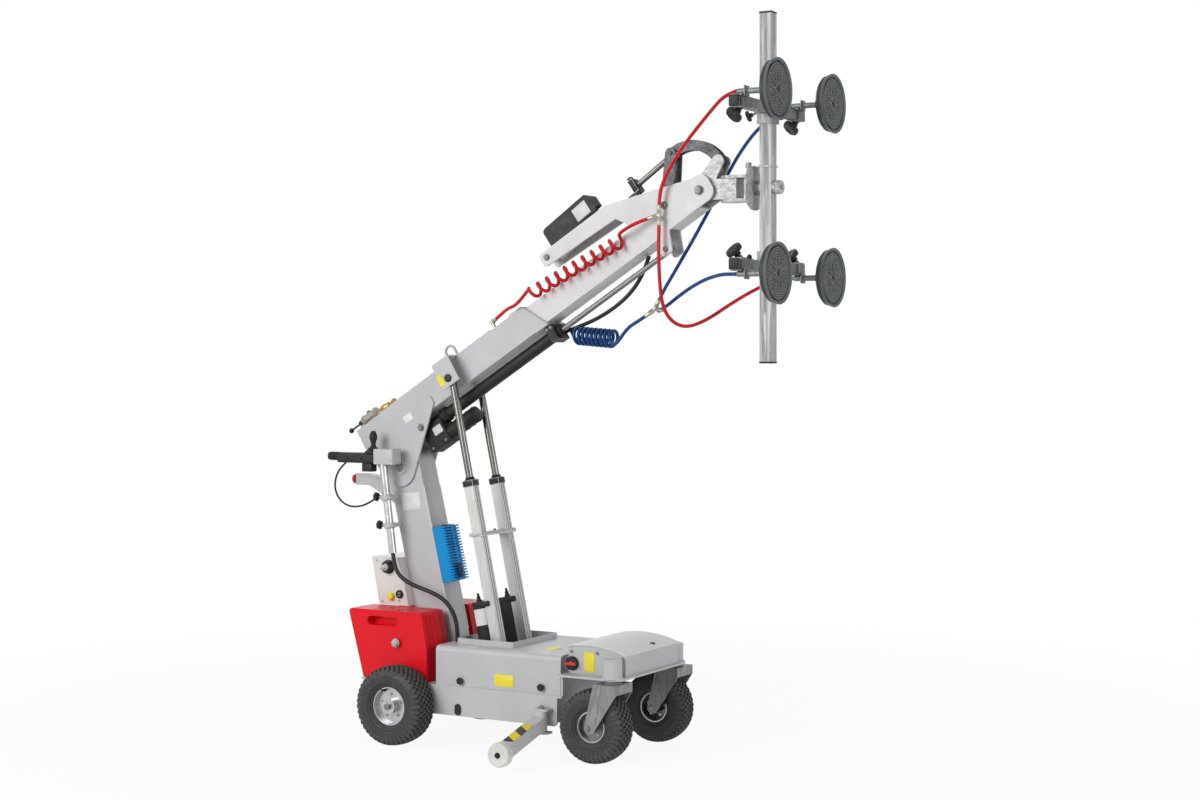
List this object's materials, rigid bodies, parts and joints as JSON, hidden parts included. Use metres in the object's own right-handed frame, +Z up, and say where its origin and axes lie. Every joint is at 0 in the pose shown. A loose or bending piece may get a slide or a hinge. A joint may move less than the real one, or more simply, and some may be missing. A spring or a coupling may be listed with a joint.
{
  "type": "glass panel lifter",
  "caption": "Self-propelled vacuum lifter: wheeled counterweighted chassis, telescopic boom on lift actuators, tilting and rotating frame of suction cups for panes and panels",
  "frame": {"origin": "on the floor, under the middle of the machine's length and width", "axes": "+X forward towards the suction cups, +Y to the machine's left, +Z up"},
  "size_m": [2.115, 1.2, 2.837],
  "materials": {
    "grey_paint": "satin",
    "light_paint": "satin",
    "red_paint": "gloss",
    "blue_paint": "satin",
    "dark_metal": "satin",
    "wheel_silver": "satin",
    "galvanised": "spangled",
    "chrome": "polished",
    "extrusion": "anodised",
    "brass": "polished",
    "tyre": "matte",
    "black_plastic": "matte",
    "red_plastic": "gloss",
    "nylon": "matte",
    "cup_rubber": "matte",
    "hose_red": "gloss",
    "hose_blue": "gloss"
  },
  "bodies": {
    "chassis": {"base_frame": "grey_paint", "hood_cover": "grey_paint", "front_housing": "grey_paint", "front_lid": "light_paint", "column": "light_paint", "counterweights": "red_paint", "drive_axle": "dark_metal", "control_panel": "light_paint", "charger": "blue_paint"},
    "rear_wheel_right": {"rear_tyre_right": "tyre", "rear_rim_right": "wheel_silver"},
    "caster_right": {"caster_fork_right": "galvanised"},
    "caster_wheel_right": {"caster_tyre_right": "tyre", "caster_rim_right": "dark_metal"},
    "outrigger_right": {"outrigger_leg_right": "grey_paint"},
    "outrigger_wheel_right": {"outrigger_roller_right": "nylon"},
    "rear_wheel_left": {"rear_tyre_left": "tyre", "rear_rim_left": "wheel_silver"},
    "caster_left": {"caster_fork_left": "galvanised"},
    "caster_wheel_left": {"caster_tyre_left": "tyre", "caster_rim_left": "dark_metal"},
    "outrigger_left": {"outrigger_leg_left": "grey_paint"},
    "outrigger_wheel_left": {"outrigger_roller_left": "nylon"},
    "estop": {"estop_button": "red_plastic"},
    "main_switch": {"main_switch_key": "black_plastic"},
    "handle_pole": {"control_pole": "chrome", "control_handle": "black_plastic", "control_cables": "black_plastic"},
    "joystick": {"joystick": "black_plastic"},
    "boom_outer": {"outer_boom": "grey_paint", "lifting_hoop": "galvanised", "telescope_actuator": "black_plastic", "vacuum_valve": "brass"},
    "valve_lever": {"valve_lever": "black_plastic"},
    "lift_rods": {"lift_rods": "chrome"},
    "lift_barrels": {"lift_barrels": "extrusion"},
    "boom_inner": {"inner_boom": "light_paint", "boom_head": "light_paint", "telescope_spindle": "chrome", "red_hoses": "hose_red", "blue_hoses": "hose_blue", "boom_cable": "black_plastic"},
    "tilt_actuator": {"tilt_actuator": "extrusion", "tilt_motor": "black_plastic"},
    "tilt_rod": {"tilt_rod": "chrome"},
    "tilt_lever": {"tilt_lever": "galvanised"},
    "tilt_link": {"tilt_link": "galvanised"},
    "knuckle": {"knuckle": "galvanised"},
    "swing_yoke": {"swing_yoke": "galvanised"},
    "suction_frame": {"suction_bar": "galvanised"},
    "crossarm_upper": {"crossarm_upper": "galvanised"},
    "cup_upper_right": {"cup_clamp_upper_right": "galvanised", "suction_cup_upper_right": "cup_rubber"},
    "cup_upper_left": {"cup_clamp_upper_left": "galvanised", "suction_cup_upper_left": "cup_rubber"},
    "crossarm_lower": {"crossarm_lower": "galvanised"},
    "cup_lower_right": {"cup_clamp_lower_right": "galvanised", "suction_cup_lower_right": "cup_rubber"},
    "cup_lower_left": {"cup_clamp_lower_left": "galvanised", "suction_cup_lower_left": "cup_rubber"}
  },
  "joints": [
    {"name": "rear_wheel_spin_right", "type": "hinge", "parent": "chassis", "child": "rear_wheel_right", "pos_m": [-0.5825, -0.327, 0.158], "axis": [0, 1, 0], "continuous": true},
    {"name": "caster_swivel_right", "type": "hinge", "parent": "chassis", "child": "caster_right", "pos_m": [0.3675, -0.25, 0.309], "axis": [0, 0, 1], "continuous": true},
    {"name": "caster_spin_right", "type": "hinge", "parent": "caster_right", "child": "caster_wheel_right", "pos_m": [0.2955, -0.25, 0.143], "axis": [0, 1, 0], "continuous": true},
    {"name": "outrigger_swing_right", "type": "hinge", "parent": "chassis", "child": "outrigger_right", "pos_m": [0.0755, -0.288, 0.146], "axis": [0, 0, 1], "range_deg": [-90, 0]},
    {"name": "outrigger_spin_right", "type": "hinge", "parent": "outrigger_right", "child": "outrigger_wheel_right", "pos_m": [0.0755, -0.58, 0.068], "axis": [0, 1, 0], "continuous": true},
    {"name": "rear_wheel_spin_left", "type": "hinge", "parent": "chassis", "child": "rear_wheel_left", "pos_m": [-0.5825, 0.327, 0.158], "axis": [0, 1, 0], "continuous": true},
    {"name": "caster_swivel_left", "type": "hinge", "parent": "chassis", "child": "caster_left", "pos_m": [0.3675, 0.25, 0.309], "axis": [0, 0, 1], "continuous": true},
    {"name": "caster_spin_left", "type": "hinge", "parent": "caster_left", "child": "caster_wheel_left", "pos_m": [0.2955, 0.25, 0.143], "axis": [0, 1, 0], "continuous": true},
    {"name": "outrigger_swing_left", "type": "hinge", "parent": "chassis", "child": "outrigger_left", "pos_m": [0.0755, 0.288, 0.146], "axis": [0, 0, 1], "range_deg": [0, 90]},
    {"name": "outrigger_spin_left", "type": "hinge", "parent": "outrigger_left", "child": "outrigger_wheel_left", "pos_m": [0.0755, 0.58, 0.068], "axis": [0, 1, 0], "continuous": true},
    {"name": "estop_push", "type": "slide", "parent": "chassis", "child": "estop", "axis": [1, 0, 0], "range_m": [0, 0.006], "stiffness_N_per_m": 900},
    {"name": "main_switch_turn", "type": "hinge", "parent": "chassis", "child": "main_switch", "pos_m": [0.1695, -0.212, 0.366], "axis": [0, -1, 0], "range_deg": [0, 90]},
    {"name": "pole_slide", "type": "slide", "parent": "chassis", "child": "handle_pole", "axis": [-0.1361, 0, 0.9907], "range_m": [-0.08, 0.09], "deforming": ["control_cables"]},
    {"name": "joystick_tilt", "type": "hinge", "parent": "handle_pole", "child": "joystick", "pos_m": [-0.8345, -0.13, 1.1673], "axis": [0, 1, 0], "range_deg": [-15, 15], "stiffness_Nm_per_rad": 0.6},
    {"name": "boom_lift", "type": "hinge", "parent": "chassis", "child": "boom_outer", "pos_m": [-0.7425, 0, 1.087], "axis": [0, -1, 0], "range_deg": [-30, 18]},
    {"name": "valve_lever_turn", "type": "hinge", "parent": "boom_outer", "child": "valve_lever", "pos_m": [-0.97929, -0.014, 1.26213], "axis": [0, -1, 0], "range_deg": [-60, 30]},
    {"name": "lift_rod_swing", "type": "hinge", "parent": "boom_outer", "child": "lift_rods", "pos_m": [-0.46496, 0, 1.45617], "axis": [0, -1, 0], "range_deg": [-15, 25]},
    {"name": "lift_barrel_slide", "type": "slide", "parent": "lift_rods", "child": "lift_barrels", "axis": [0.2075, 0, -0.9782], "range_m": [-0.2, 0.12]},
    {"name": "telescope", "type": "slide", "parent": "boom_outer", "child": "boom_inner", "axis": [0.848, 0, 0.5299], "range_m": [-0.4, 0.1], "deforming": ["red_hoses", "blue_hoses", "boom_cable"]},
    {"name": "tilt", "type": "hinge", "parent": "boom_inner", "child": "knuckle", "pos_m": [0.63062, 0, 2.17496], "axis": [0, -1, 0], "range_deg": [-25, 25]},
    {"name": "tilt_lever_swing", "type": "hinge", "parent": "boom_inner", "child": "tilt_lever", "pos_m": [0.48147, 0, 2.12303], "axis": [0, -1, 0], "range_deg": [-15.2, 15.2]},
    {"name": "tilt_link_swing", "type": "hinge", "parent": "tilt_lever", "child": "tilt_link", "pos_m": [0.49654, 0, 2.32348], "axis": [0, -1, 0], "range_deg": [-7.8, 7.8]},
    {"name": "tilt_actuator_swing", "type": "hinge", "parent": "boom_inner", "child": "tilt_actuator", "pos_m": [-0.04568, 0, 1.93631], "axis": [0, -1, 0], "range_deg": [-3, 3]},
    {"name": "tilt_rod_slide", "type": "slide", "parent": "tilt_actuator", "child": "tilt_rod", "axis": [0.8138, 0, 0.5811], "range_m": [-0.0415, 0.0415]},
    {"name": "swing", "type": "hinge", "parent": "knuckle", "child": "swing_yoke", "pos_m": [0.7475, 0, 2.177], "axis": [0, 0, 1], "range_deg": [-45, 45]},
    {"name": "rotate", "type": "hinge", "parent": "swing_yoke", "child": "suction_frame", "pos_m": [0.8955, 0, 2.177], "axis": [1, 0, 0], "range_deg": [-90, 90]},
    {"name": "crossarm_slide_upper", "type": "slide", "parent": "suction_frame", "child": "crossarm_upper", "axis": [0, 0, 1], "range_m": [-0.15, 0.15]},
    {"name": "cup_slide_upper_right", "type": "slide", "parent": "crossarm_upper", "child": "cup_upper_right", "axis": [0, 1, 0], "range_m": [-0.012, 0.09]},
    {"name": "cup_slide_upper_left", "type": "slide", "parent": "crossarm_upper", "child": "cup_upper_left", "axis": [0, 1, 0], "range_m": [-0.09, 0.012]},
    {"name": "crossarm_slide_lower", "type": "slide", "parent": "suction_frame", "child": "crossarm_lower", "axis": [0, 0, 1], "range_m": [-0.15, 0.15]},
    {"name": "cup_slide_lower_right", "type": "slide", "parent": "crossarm_lower", "child": "cup_lower_right", "axis": [0, 1, 0], "range_m": [-0.012, 0.09]},
    {"name": "cup_slide_lower_left", "type": "slide", "parent": "crossarm_lower", "child": "cup_lower_left", "axis": [0, 1, 0], "range_m": [-0.09, 0.012]}
  ],
  "couplings": [
    {"joint": "lift_rod_swing", "follows": "boom_lift", "ratio": -0.7901},
    {"joint": "lift_barrel_slide", "follows": "boom_lift", "m_per_rad": 0.37623},
    {"joint": "tilt_lever_swing", "follows": "tilt", "ratio": 0.6011},
    {"joint": "tilt_link_swing", "follows": "tilt", "ratio": -0.3026},
    {"joint": "tilt_actuator_swing", "follows": "tilt", "ratio": 0.1143},
    {"joint": "tilt_rod_slide", "follows": "tilt", "m_per_rad": -0.09312}
  ]
}
